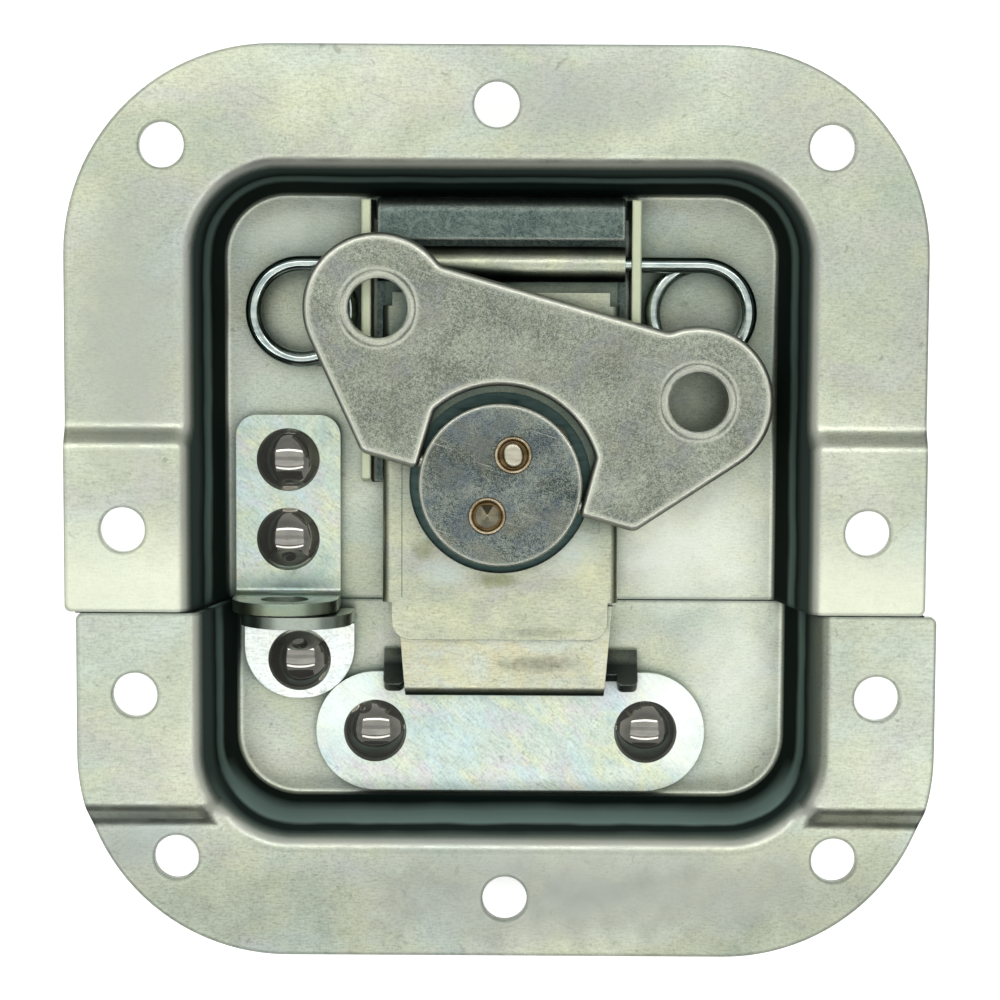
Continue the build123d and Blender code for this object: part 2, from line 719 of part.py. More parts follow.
with BuildPart() as butterfly:
    with BuildSketch(wing_plane(wing_bottom)):
        with BuildLine():
            Line((0, wing_top), (kink_u, wing_top))
            ThreePointArc((kink_u, wing_top), lobe_point(45), flank_end)
            Polyline(
                flank_end,
                (wing_foot, -wing_below),
                (notch_half_width, -wing_below),
                (notch_half_width, notch_shoulder),
            )
            ThreePointArc(
                (notch_half_width, notch_shoulder),
                (notch_radius / 2, notch_radius * sqrt(3) / 2),
                (0, notch_radius),
            )
            mirror(about=Plane.YZ)
        make_face()
        with Locations((-lobe_spread, lobe_reach), (lobe_spread, lobe_reach)):
            Circle(finger_hole, mode=Mode.SUBTRACT)
    extrude(amount=wing_thickness)

    def across_wing(edge):
        return wing_plane(0).to_local_coords(edge.center())

    posts = butterfly.edges().filter_by(Axis.Z)
    feet = posts.filter_by(lambda edge: abs(abs(across_wing(edge).X) - wing_foot) < same)
    fillet(feet, radius=wing_foot_corner)
    posts = butterfly.edges().filter_by(Axis.Z)
    fillet(posts.filter_by(lambda edge: abs(across_wing(edge).Y - wing_top) < same), wing_kink)
    posts = butterfly.edges().filter_by(Axis.Z)
    mouths = posts.filter_by(lambda edge: abs(abs(across_wing(edge).X) - notch_half_width) < same)
    fillet(mouths, radius=notch_corner)
    faces = butterfly.faces().sort_by(Axis.Z)
    fillet(faces[0].outer_wire().edges() + faces[-1].outer_wire().edges(), radius=wing_edge)
    with BuildSketch(wing_plane(wing_bottom + wing_thickness)):
        with Locations((-lobe_spread, lobe_reach), (lobe_spread, lobe_reach)):
            Circle(finger_hole + finger_rim)
            Circle(finger_hole, mode=Mode.SUBTRACT)
    extrude(amount=finger_rim_rise)
    for side in (-1, 1):
        lie = wing_plane(pivot_z)
        root = Plane(lie.origin + lie.x_dir * side * (notch_half_width + clear), z_dir=lie.x_dir * -side)
        with BuildSketch(root):
            Circle(trunnion_radius)
        extrude(amount=trunnion_length + clear)

# ---- Strike plate: a capsule with a lip folded back over it ----
inner_y = lip_end + horn_run + lip_across
inner_z = lip_face_z + horn_up - lip_down
root_y = inner_y - (inner_z - strike_top) / tan(lip_angle)
nose_z = lip_face_z - (lip_end - lip_fold) * tan(lip_angle)

with BuildPart() as strike_plate:
    with BuildSketch(side_plane(strike_x, -1)):
        with BuildLine():
            Polyline(
                (strike_reach, floor_top),
                (lip_fold, floor_top),
                (lip_fold, nose_z),
                (lip_end + horn_run, lip_face_z + horn_up),
                (inner_y, inner_z),
                (root_y, strike_top),
                (strike_reach, strike_top),
                close=True,
            )
        make_face()
    extrude(amount=lip_width / 2, both=True)
    with BuildSketch(keeper_plane(floor_top)):
        with Locations((0, -strike_reach)):
            SlotOverall(strike_width, strike_height)
    extrude(amount=strike_sheet)
    lip_edge = Plane(
        (strike_x, split_y - lip_end, lip_face_z),
        x_dir=(1, 0, 0),
        z_dir=(0, -cos(lip_angle), sin(lip_angle)),
    )
    with BuildSketch(lip_edge):
        Rectangle(lip_width - 2 * horn_width, 2 * (strike_sheet + clear))
    extrude(amount=horn_length + clear, mode=Mode.SUBTRACT)
    across = lip_edge.y_dir
    tips = strike_plate.edges().filter_by(
        lambda edge: edge.geom_type == GeomType.LINE
        and abs(abs((edge % 0.5).dot(across)) - 1) < 0.001
        and edge.center().Z > lip_face_z + (horn_up - lip_down) / 2
    )
    fillet(tips, radius=horn_round)
    nose = strike_plate.edges().filter_by(Axis.X).filter_by(
        lambda edge: abs(edge.center().Z - nose_z) < same
    )
    fillet(nose, radius=lip_nose)
    with Locations(*[(x, split_y + y, strike_top) for x, y in strike_dome_spots]):
        Hole(rivet_shank + rivet_seat, depth=strike_sheet)


# ---- Padlock brackets ----
def padlock_bracket(towards, width, far, face, corner, top_round, rivet_reaches):
    """A bracket whose lug stands across the lid line, with an eye for the padlock."""
    x = latch_lug_x if towards > 0 else keeper_lug_x
    mid_z = floor_top + lug_sheet / 2
    mid_y = face + lug_sheet / 2
    top_z = floor_top + lug_height
    with BuildPart() as bracket:
        with BuildSketch(side_plane(x, towards)):
            with BuildLine():
                FilletPolyline(
                    (far, mid_z), (mid_y, mid_z), (mid_y, top_z), radius=lug_fold + lug_sheet / 2
                )
            trace(line_width=lug_sheet)
        extrude(amount=width / 2, both=True)
        crown = bracket.edges().filter_by(Axis.Y).group_by(Axis.Z)[-1]
        fillet(crown, radius=top_round)
        ends = bracket.edges().filter_by(Axis.Z).group_by(Axis.Y)
        fillet(ends[-1] if towards > 0 else ends[0], radius=corner)
        with BuildSketch(front_plane(x, 0)):
            with Locations((0, floor_top + eye_height)):
                Circle(eye_radius)
        extrude(amount=far, both=True, mode=Mode.SUBTRACT)
        with Locations(*[(x, split_y + reach, lug_base_top) for reach in rivet_reaches]):
            Hole(rivet_shank + rivet_seat, depth=lug_sheet)
    return bracket.part


keeper_lug_face = latch_lug_face + lug_gap

with BuildPart() as padlock_bracket_upper:
    add(
        padlock_bracket(
            1,
            latch_lug_width,
            latch_lug_far,
            -latch_lug_face,
            latch_lug_corner,
            latch_lug_top,
            latch_lug_rivets,
        )
    )

with BuildPart() as padlock_bracket_lower:
    add(
        padlock_bracket(
            -1,
            keeper_lug_width,
            keeper_lug_far,
            keeper_lug_face,
            keeper_lug_corner,
            keeper_lug_top,
            (-keeper_lug_rivet,),
        )
    )


# ---- Rivets ----
def dome_rivet(spot, sheet):
    """A dome-headed rivet through that sheet and a dish floor, with its tail flush behind."""
    x, y = spot
    seat = floor_top + sheet
    with BuildPart() as rivet:
        with BuildSketch(front_plane(x, y)):
            with BuildLine():
                Polyline(
                    (0, seat + dome_rise),
                    (0, 0),
                    (rivet_tail, 0),
                    (rivet_shank, rivet_tail - rivet_shank),
                    (rivet_shank, seat),
                    (dome_radius, seat),
                )
                sphere = (dome_radius**2 + dome_rise**2) / (2 * dome_rise)
                half = asin(dome_radius / sphere) / 2
                ThreePointArc(
                    (dome_radius, seat),
                    (sphere * sin(half), seat + dome_rise - sphere * (1 - cos(half))),
                    (0, seat + dome_rise),
                )
            make_face()
        revolve(axis=Axis((x, split_y + y, 0), (0, 0, 1)))
    return rivet.part


with BuildPart() as frame_rivets:
    for x, y in frame_rivet_spots:
        with BuildSketch(front_plane(x, y)):
            flare = flat_rivet_end - flat_rivet_shank
            with BuildLine():
                Polyline(
                    (0, 0),
                    (flat_rivet_end, 0),
                    (flat_rivet_shank, flare),
                    (flat_rivet_shank, frame_top - flare),
                    (flat_rivet_end, frame_top),
                    (0, frame_top),
                    close=True,
                )
            make_face()
        revolve(axis=Axis((x, split_y + y, 0), (0, 0, 1)))

pieces = {
    "latch_dish": latch_dish.part,
    "keeper_dish": keeper_dish.part,
    "frame_bracket": frame_bracket.part,
    "frame_rivets": frame_rivets.part,
    "spring_wire": spring_wire.part,
    "arm_base": arm_base.part,
    "arm_cover": arm_cover.part,
    "tongue": tongue.part,
    "follower_stud": follower_stud.part,
    "rotor_body": rotor_body.part,
    "rotor_disc": rotor_disc.part,
    "rotor_rivet_front": rotor_rivet_front.part,
    "rotor_rivet_rear": rotor_rivet_rear.part,
    "butterfly": butterfly.part,
    "strike_plate": strike_plate.part,
    "padlock_bracket_upper": padlock_bracket_upper.part,
    "padlock_bracket_lower": padlock_bracket_lower.part,
    "padlock_rivet_upper_a": dome_rivet(latch_dome_spots[0], lug_sheet),
    "padlock_rivet_upper_b": dome_rivet(latch_dome_spots[1], lug_sheet),
    "strike_rivet_left": dome_rivet(strike_dome_spots[0], strike_sheet),
    "strike_rivet_right": dome_rivet(strike_dome_spots[1], strike_sheet),
    "padlock_rivet_lower": dome_rivet(keeper_dome_spots[2], lug_sheet),
}
for name, piece in pieces.items():
    piece.label = name
    export_step(piece, f"parts/{name}.step")
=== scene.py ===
"""The butterfly latch: metal finishes, small detail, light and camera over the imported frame."""

from math import cos, pi, radians, sin

import bmesh
import bpy
from mathutils import Matrix, Vector


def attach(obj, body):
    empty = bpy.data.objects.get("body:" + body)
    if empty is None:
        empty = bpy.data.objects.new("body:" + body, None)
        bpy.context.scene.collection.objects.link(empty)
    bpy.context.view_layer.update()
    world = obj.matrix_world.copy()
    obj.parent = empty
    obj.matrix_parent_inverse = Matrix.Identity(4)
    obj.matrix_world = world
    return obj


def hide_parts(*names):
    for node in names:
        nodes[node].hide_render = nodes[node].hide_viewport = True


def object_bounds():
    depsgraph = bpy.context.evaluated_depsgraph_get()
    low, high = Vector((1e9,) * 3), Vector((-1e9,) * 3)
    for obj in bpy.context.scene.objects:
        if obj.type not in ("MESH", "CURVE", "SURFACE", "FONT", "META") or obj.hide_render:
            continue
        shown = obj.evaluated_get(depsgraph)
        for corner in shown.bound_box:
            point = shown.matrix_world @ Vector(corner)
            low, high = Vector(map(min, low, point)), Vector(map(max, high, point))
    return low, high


MM = 0.001
RAYS = 4  # of each edge and shelter test in a material

# Tones of wear and dirt, and of painted highlight and painted shade, that the finishes share
# A painted highlight on the recess's mouth
MOUTH_HIGHLIGHT = (0.96, 0.97, 0.88)
PALE_WING = (0.84, 0.87, 0.70)
SMUT = (0.16, 0.19, 0.16)
PALE_SCRATCH = (0.80, 0.84, 0.72)
DARK_SCRATCH = (0.18, 0.20, 0.18)
# Edge wear with a painted highlight
WORN_EDGE_HIGHLIGHT = (0.88, 0.90, 0.78)
# A painted shade line on edges
EDGE_SHADE = (0.05, 0.07, 0.06)
# Painted shade under cover
UNDER_COVER_SHADE = (0.02, 0.045, 0.04)
# Painted shade within a wide reach, as on the recess floor
WIDE_REACH_SHADE = (0.03, 0.05, 0.04)
# Painted shade on faces turned to the near side
NEAR_SIDE_SHADE = (0.012, 0.018, 0.015)
VIOLET = (0.50, 0.47, 0.50)
STRAW = (0.66, 0.66, 0.42)
SKY = (0.56, 0.68, 0.70)
OLIVE = (0.20, 0.22, 0.08)
SOOT = (0.05, 0.06, 0.05)

# Places that the finishes follow, in millimetres
WING_HEIGHT = 15.9  # only the raised wings stand above it
RECESS_HALF = 46.0  # the recess's walls lie within it along Y
DEPTH_SPAN = 20.0  # heights in ramps are shares of it

# How deep each finish's bump is, in millimetres
ROLLED_DEPTH = 0.005
GRIT_DEPTH = 0.02
STREAK_DEPTH = 0.001

WALL_ROUGHNESS = (0.9, 0.9, 0.9)  # as a colour, for a mix; smoother walls shine from above

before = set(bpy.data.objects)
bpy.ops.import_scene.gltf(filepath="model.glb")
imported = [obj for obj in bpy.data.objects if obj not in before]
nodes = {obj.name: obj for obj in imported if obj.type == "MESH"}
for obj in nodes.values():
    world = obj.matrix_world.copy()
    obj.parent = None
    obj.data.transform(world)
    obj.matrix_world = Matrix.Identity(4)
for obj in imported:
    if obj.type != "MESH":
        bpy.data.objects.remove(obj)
cad_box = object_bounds()


# ---- Materials ----
# A ramp's stops are (value, tone) pairs, set against the photograph.
class Finish:
    """A node material, built up socket by socket."""

    def __init__(self, name):
        self.material = bpy.data.materials.new(name)
        self.material.use_nodes = True
        self.tree = self.material.node_tree
        self.tree.nodes.clear()
        self.place = self.node("ShaderNodeTexCoord").outputs["Object"]

    def node(self, kind, inputs=None, **settings):
        node = self.tree.nodes.new(kind)
        for key, value in settings.items():
            setattr(node, key, value)
        for key, value in (inputs or {}).items():
            if isinstance(value, bpy.types.NodeSocket):
                self.tree.links.new(value, node.inputs[key])
            else:
                node.inputs[key].default_value = value
        return node

    def math(self, operation, first, second=0.0):
        return self.node("ShaderNodeMath", {0: first, 1: second}, operation=operation).outputs[0]

    def over(self, length, span):
        """A length in metres, divided by a span in millimetres."""
        return self.math("MULTIPLY", length, 1 / MM / span)

    def noise(self, size, detail=2.0, stretch=(1, 1, 1), turn=0.0, warp=0.0, seed=0.0):
        """Noise whose features are about size millimetres across, drawn out by stretch."""
        scale = [1 / (part * size * MM) for part in stretch]
        lie = self.node(
            "ShaderNodeMapping",
            {
                "Vector": self.place,
                "Rotation": (0, 0, radians(turn)),
                "Location": (seed, seed * 0.37, seed * 0.71),
            },
        ).outputs[0]
        lie = self.node("ShaderNodeVectorMath", {0: lie, 1: scale}, operation="MULTIPLY")
        lie = lie.outputs[0]
        return self.node(
            "ShaderNodeTexNoise",
            {"Vector": lie, "Scale": 1.0, "Detail": detail, "Distortion": warp},
        ).outputs[0]

    def ramp(self, value, *stops):
        """Colours or levels at stops along value."""
        node = self.node("ShaderNodeValToRGB", {0: value})
        steps = node.color_ramp.elements
        while len(steps) < len(stops):
            steps.new(1.0)
        for step, (spot, tone) in zip(steps, stops):
            step.position = spot
            step.color = (*tone, 1) if isinstance(tone, tuple) else (tone, tone, tone, 1)
        return node.outputs[0]

    def mix(self, share, first, second, blend="MIX"):
        node = self.node("ShaderNodeMix", data_type="RGBA", blend_type=blend)
        for key, value in (("Factor", share), ("A", first), ("B", second)):
            socket = next(s for s in node.inputs if s.name == key and s.enabled)
            if isinstance(value, bpy.types.NodeSocket):
                self.tree.links.new(value, socket)
            elif key == "Factor":
                socket.default_value = value
            else:
                socket.default_value = (*value, 1)
        return next(s for s in node.outputs if s.enabled)

    def parts(self, vector):
        return self.node("ShaderNodeSeparateXYZ", {0: vector}).outputs

    def facing(self):
        """The X, Y and Z of a face's direction in the object's own frame."""
        return self.parts(self.node("ShaderNodeTexCoord").outputs["Normal"])

    def tilt(self):
        """How level a face lies in the object's own frame: 1 level, 0 upright."""
        return self.math("ABSOLUTE", self.facing()["Z"])

    def painted_shade(self, body, reach, stops, tone):
        """Mixes tone into body as painted shade where something stands over it within reach
        millimetres.
        """
        shelter = self.node("ShaderNodeAmbientOcclusion", {"Distance": reach * MM}, samples=RAYS)
        return self.mix(self.ramp(shelter.outputs["AO"], *stops), body, tone)

    def edges(self, radius, rim):
        """The bright band beside an edge of that radius in millimetres, which stands for wear and
        a painted highlight, the dark line on the edge itself, which is painted shade, and the
        rounded normal. A higher rim brings the line and the band further in."""
        rounded = self.node("ShaderNodeBevel", {"Radius": radius * MM}, samples=RAYS).outputs[0]
        flat = self.node("ShaderNodeNewGeometry").outputs["Normal"]
        match = self.node(
            "ShaderNodeVectorMath", {0: rounded, 1: flat}, operation="DOT_PRODUCT"
        ).outputs["Value"]
        band = self.ramp(
            match, (rim - 0.04, 0.0), (rim + 0.03, 1.0), (0.985, 1.0), (0.998, 0.0)
        )
        line = self.ramp(match, (rim - 0.10, 1.0), (rim, 0.0))
        return band, line, rounded

    def finish(self, colour, roughness, bump, depth, normal=None, metallic=1.0):
        """Closes the material; depth is the height of the bump in millimetres."""
        shader = self.node(
            "ShaderNodeBsdfPrincipled",
            {"Base Color": colour, "Roughness": roughness, "Metallic": metallic},
        )
        relief = self.node("ShaderNodeBump", {"Height": bump, "Distance": depth * MM})
        relief.inputs["Strength"].default_value = 1.0
        if normal is not None:
            self.tree.links.new(normal, relief.inputs["Normal"])
        self.tree.links.new(relief.outputs[0], shader.inputs["Normal"])
        out = self.node("ShaderNodeOutputMaterial")
        self.tree.links.new(shader.outputs[0], out.inputs["Surface"])
        return self.material


def weathered(skin, body, marks, seed):
    """Clustered scratches at several angles over a body colour, as (angle, share, tone)."""
    for index, (turn, share, tone) in enumerate(marks):
        line = skin.noise(0.5, detail=1, stretch=(11, 0.17, 1), turn=turn, seed=seed + index)
        line = skin.ramp(line, (0.70, 0.0), (0.735, 1.0))
        where = skin.noise(7, detail=1, seed=seed + 0.3 * index)
        where = skin.ramp(where, (0.44, 0.0), (0.60, share))
        body = skin.mix(skin.math("MULTIPLY", line, where), body, tone)
    return body


def plated(
    name, tints, patch, roughness, edge=0.15, films=(), walls=False, lie=0.0, seed=0.0, shine=0.6,
    marks=(), outline=0.5, rim=0.90, cover=3.0, deep=(0.1, 0.7),
):
    """Zinc plate: clouded tints with thin coloured films, a rolled grain, and bright edges that
    stand for wear and a painted highlight, with a painted shade line on the edge itself. It takes
    painted shade where something stands over it within cover millimetres."""
    skin = Finish(name)
    cloud = skin.noise(patch, detail=4, warp=0.6, seed=seed)
    body = skin.ramp(cloud, (0.32, tints[0]), (0.5, tints[1]), (0.68, tints[2]))
    for index, (size, share, tone) in enumerate(films):
        film = skin.noise(
            size, detail=5, stretch=(1.6, 1, 1), turn=lie, warp=0.9, seed=seed + 2 + index
        )
        body = skin.mix(skin.ramp(film, (0.48, 0.0), (0.68, share)), body, tone)
    rolled = skin.noise(0.20, detail=3, stretch=(5, 1, 1), turn=lie, seed=seed)
    speck = skin.noise(0.30, detail=4, seed=seed)
    tone = skin.math("ADD", skin.math("MULTIPLY", rolled, 0.5), skin.math("MULTIPLY", speck, 0.5))
    grained = skin.ramp(tone, (0.36, 0.7), (0.5, 0.9), (0.62, 1.0))
    body = skin.mix(1.0, body, grained, "MULTIPLY")
    smut = skin.noise(1.3, detail=6, warp=0.8, seed=seed + 4)
    body = skin.mix(skin.ramp(smut, (0.28, 0.45), (0.34, 0.0)), body, SMUT)
    scratches = ((24, 0.5, SMUT), (-48, 0.4, PALE_SCRATCH), (80, 0.35, DARK_SCRATCH))
    body = weathered(skin, body, scratches, seed)
    for mark in marks:
        body = mark(skin, body)
    band, line, rounded = skin.edges(edge, rim)
    # The edge band is wear and a painted highlight
    body = skin.mix(skin.math("MULTIPLY", band, shine), body, WORN_EDGE_HIGHLIGHT)
    if walls:
        body, steep = shaded_walls(skin, darker_and_lighter_zones(skin, body))
    # The dark line on the edge is painted shade
    body = skin.mix(skin.math("MULTIPLY", line, outline), body, EDGE_SHADE)
    # Painted shade where something stands over the plate
    body = skin.painted_shade(body, cover, ((deep[0], 0.9), (deep[1], 0.0)), UNDER_COVER_SHADE)
    gloss = skin.noise(2.4, detail=3, seed=5)
    gloss = skin.ramp(gloss, (0.3, roughness - 0.05), (0.7, roughness + 0.05))
    if walls:
        gloss = skin.mix(steep, gloss, WALL_ROUGHNESS)
    return skin.finish(body, gloss, tone, ROLLED_DEPTH, None if walls else rounded)


def darker_and_lighter_zones(skin, body):
    """The colour is darker along the keeper's outer edge, and paler on the raised wings towards
    the lid line."""
    spot = skin.parts(skin.place)
    wavy = skin.math("ADD", spot["Y"], skin.math("MULTIPLY", skin.noise(14, detail=3), 8 * MM))
    darker_edge = skin.ramp(skin.over(wavy, -100), (0.33, 1.0), (0.43, 0.74))
    body = skin.mix(1.0, body, darker_edge, "MULTIPLY")
    raised = skin.math("GREATER_THAN", spot["Z"], WING_HEIGHT * MM)
    near = skin.ramp(
        skin.over(spot["Y"], -20), (0.0, 0.15), (0.45, 1.0), (0.652, 1.0), (0.656, 0.1)
    )
    wings = skin.math("MULTIPLY", skin.math("MULTIPLY", raised, near), 0.6)
    return skin.mix(wings, body, PALE_WING)


def inside_recess(skin, spot, own):
    """Where a face belongs to the recess: within its outline and turned to its middle."""
    beside = skin.over(skin.math("ABSOLUTE", spot["X"]), 50)
    beside = skin.ramp(beside, (0.765, 1.0), (0.80, 0.0))
    within = skin.math("LESS_THAN", skin.math("ABSOLUTE", spot["Y"]), RECESS_HALF * MM)
    outward = skin.math("MULTIPLY", own["X"], spot["X"])
    outward = skin.math("ADD", outward, skin.math("MULTIPLY", own["Y"], spot["Y"]))
    inner = skin.math("LESS_THAN", outward, 0.0)
    return skin.math("MULTIPLY", skin.math("MULTIPLY", beside, within), inner)


def shaded_walls(skin, body):
    """The mouth of the recess takes a painted highlight, its steep walls carry painted shade with
    a paler teal painted reflection band half way down, and the floor takes painted shade under
    cover. Returns the colour and where the steep walls are."""
    spot = skin.parts(skin.place)
    own = skin.facing()
    recess = inside_recess(skin, spot, own)
    uneven = skin.math("MULTIPLY", skin.math("SUBTRACT", skin.noise(10, detail=2), 0.5), 0.10)
    level = skin.math("ADD", skin.over(spot["Z"], DEPTH_SPAN), uneven)
    # A painted highlight on the roll of the recess's mouth
    mouth_highlight = skin.ramp(
        skin.tilt(), (0.50, 0.0), (0.72, 0.75), (0.88, 0.40), (0.95, 0.04), (0.998, 0.0)
    )
    mouth_highlight = skin.math("MULTIPLY", mouth_highlight, skin.math("GREATER_THAN", level, 0.5))
    body = skin.mix(skin.math("MULTIPLY", mouth_highlight, recess), body, MOUTH_HIGHLIGHT)
    steep = skin.ramp(skin.tilt(), (0.30, 1.0), (0.60, 0.55), (0.80, 0.15), (0.93, 0.0))
    steep = skin.math("MULTIPLY", steep, recess)
    # The walls' tones, by height and by the side they face, are painted shade with a paler
    # painted reflection band
    night = (0.010, 0.018, 0.015)
    dusk = (0.03, 0.05, 0.045)
    near_wall = skin.ramp(
        level,
        (0.18, night),
        (0.34, (0.26, 0.36, 0.335)),
        (0.50, (0.36, 0.48, 0.45)),
        (0.55, dusk),
        (0.62, dusk),
        (0.70, (0.20, 0.26, 0.23)),
    )
    other_wall = skin.ramp(
        level,
        (0.33, night),
        (0.40, (0.20, 0.28, 0.25)),
        (0.47, (0.14, 0.21, 0.19)),
        (0.52, night),
        (0.62, (0.07, 0.10, 0.09)),
    )
    nearby = skin.ramp(own["Y"], (0.25, 0.0), (0.7, 1.0))
    body = skin.mix(steep, body, skin.mix(nearby, other_wall, near_wall))
    # Painted shade wherever something stands within 16 mm, as on the recess floor under the
    # butterfly
    body = skin.painted_shade(body, 16, ((0.05, 0.95), (0.55, 0.0)), WIDE_REACH_SHADE)
    return body, steep


def away_from_light(low, high, share):
    """Painted shade on the faces turned to the near side, from none at low of that turn to share
    at high."""

    def mark(skin, body):
        turned_off = skin.math("MULTIPLY", skin.facing()["Y"], -1.0)
        return skin.mix(skin.ramp(turned_off, (low, 0.0), (high, share)), body, NEAR_SIDE_SHADE)

    return mark


def stain(x, y, reach, share, tone):
    """A blotch of tone round (x, y) millimetres, fading out about reach millimetres away."""

    def mark(skin, body):
        spot = skin.parts(skin.place)
        along = skin.over(skin.math("SUBTRACT", spot["X"], x * MM), reach[0])
        across = skin.over(skin.math("SUBTRACT", spot["Y"], y * MM), reach[1])
        along = skin.math("MULTIPLY", along, along)
        across = skin.math("MULTIPLY", across, across)
        ragged = skin.noise(min(reach), detail=6, warp=0.7, seed=x)
        ragged = skin.math("MULTIPLY", ragged, 1.5)
        away = skin.math("ADD", skin.math("ADD", along, across), ragged)
        fade = skin.ramp(skin.math("MULTIPLY", away, 0.5), (0.25, share), (0.85, 0.0))
        return skin.mix(fade, body, tone)

    return mark


def scored(x, ends, half_width, share, tone):
    """A straight tool mark along Y at x, between two ends, in millimetres."""

    def mark(skin, body):
        spot = skin.parts(skin.place)
        beside = skin.math("ABSOLUTE", skin.math("SUBTRACT", spot["X"], x * MM))
        beside = skin.math("LESS_THAN", beside, half_width * MM)
        inside = skin.math("GREATER_THAN", spot["Y"], ends[0] * MM)
        inside = skin.math("MULTIPLY", inside, skin.math("LESS_THAN", spot["Y"], ends[1] * MM))
        line = skin.math("MULTIPLY", skin.math("MULTIPLY", beside, inside), share)
        return skin.mix(line, body, tone)

    return mark


def from_height(low, high, share, tone):
    """A tone that grows between two heights in millimetres."""

    def mark(skin, body):
        level = skin.over(skin.parts(skin.place)["Z"], DEPTH_SPAN)
        film = skin.ramp(level, (low / DEPTH_SPAN, 0.0), (high / DEPTH_SPAN, share))
        return skin.mix(film, body, tone)

    return mark


def blasted(
    name, dark, light, roughness, edge, films, wear_and_highlight, seed, ends=None, rims=0.0, rim=0.90,
    contrast=0.14,
):
    """Steel with a coarse grey grain and edges brightened by wear and a painted highlight, with a
    painted shade line on the edge itself. It is brassy beyond ends millimetres from its middle,
    rims is the share of a painted highlight on its rounded faces, and it takes painted shade in
    creases."""
    skin = Finish(name)
    grit = skin.noise(0.16, detail=2, seed=seed)
    coarse = skin.noise(0.42, detail=3, seed=seed + 1)
    cloud = skin.noise(7, detail=4, seed=seed + 2, warp=0.5)
    tone = skin.math("ADD", skin.math("MULTIPLY", grit, 0.5), skin.math("MULTIPLY", coarse, 0.25))
    tone = skin.math("ADD", tone, skin.math("MULTIPLY", cloud, 0.25))
    between = tuple((a + b) / 2 for a, b in zip(dark, light))
    body = skin.ramp(tone, (0.5 - contrast, dark), (0.5, between), (0.5 + contrast, light))
    for index, (size, share, tint) in enumerate(films):
        film = skin.noise(size, detail=5, warp=0.8, seed=seed + 4 + index)
        body = skin.mix(skin.ramp(film, (0.48, 0.0), (0.62, share)), body, tint)
    scratches = ((18, 0.5, (0.7, 0.72, 0.62)), (-60, 0.5, (0.08, 0.09, 0.08)))
    body = weathered(skin, body, scratches, seed)
    band, line, rounded = skin.edges(edge, rim)
    # The edge band is wear and a painted highlight
    body = skin.mix(skin.math("MULTIPLY", band, wear_and_highlight), body, (0.82, 0.83, 0.70))
    # The dark line on the edge is painted shade
    body = skin.mix(skin.math("MULTIPLY", line, 0.75), body, (0.04, 0.05, 0.045))
    # A painted highlight on the rounded, sloping faces
    if rims:
        turned = skin.ramp(skin.tilt(), (0.30, 0.0), (0.50, rims), (0.95, rims), (0.992, 0.0))
        body = skin.mix(turned, body, (0.90, 0.91, 0.80))
    if ends:
        across = skin.parts(skin.place)["X"]
        outer = skin.math("GREATER_THAN", skin.math("ABSOLUTE", across), ends * MM)
        body = skin.mix(skin.math("MULTIPLY", outer, 0.75), body, (0.62, 0.66, 0.46))
    # Painted shade in creases
    body = skin.painted_shade(body, 1.5, ((0.1, 0.9), (0.6, 0.0)), (0.03, 0.04, 0.035))
    gloss = skin.ramp(grit, (0.3, roughness + 0.06), (0.7, roughness - 0.06))
    relief = skin.math("ADD", grit, coarse)
    return skin.finish(body, gloss, relief, GRIT_DEPTH, None if rims else rounded)


def polished(name, dark, light, roughness, metallic=1.0, side_highlight=None):
    """Smooth steel with a faint streak. skirt is the tone of a painted highlight on its steep
    sides.
    """
    skin = Finish(name)
    streak = skin.noise(0.8, detail=3, stretch=(3, 1, 1))
    body = skin.ramp(streak, (0.35, dark), (0.65, light))
    if side_highlight:
        # A painted highlight on the steep sides
        body = skin.mix(skin.ramp(skin.tilt(), (0.70, 1.0), (0.88, 0.0)), body, side_highlight)
    gloss = skin.ramp(streak, (0.3, roughness * 0.7), (0.7, roughness * 1.3))
    return skin.finish(body, gloss, streak, STREAK_DEPTH, metallic=metallic)


dish_films = ((9, 0.35, VIOLET), (6, 0.30, STRAW), (13, 0.35, SKY))
bright_films = (
    (3.6, 0.5, (0.66, 0.56, 0.66)),
    (2.8, 0.55, (0.72, 0.74, 0.46)),
    (5.0, 0.5, (0.56, 0.74, 0.78)),
)
cover_marks = (
    scored(-12.35, (-12.0, 13.0), 0.07, 0.6, SOOT),
    scored(12.25, (-4.0, 6.0), 0.05, 0.4, SOOT),
    stain(-0.6, -9.9, (3.4, 1.2), 0.8, OLIVE),
    stain(-9.6, -6.0, (1.8, 1.6), 0.65, OLIVE),
    stain(-7.0, -9.0, (3.5, 2.2), 0.45, SKY),
    stain(8.5, -6.5, (4.5, 3.5), 0.5, (0.70, 0.80, 0.78)),
    stain(10.8, -9.0, (1.4, 3.6), 0.5, STRAW),
    stain(5.0, -16.4, (5.5, 0.8), 0.35, SOOT),
    away_from_light(0.35, 0.75, 0.92),
)
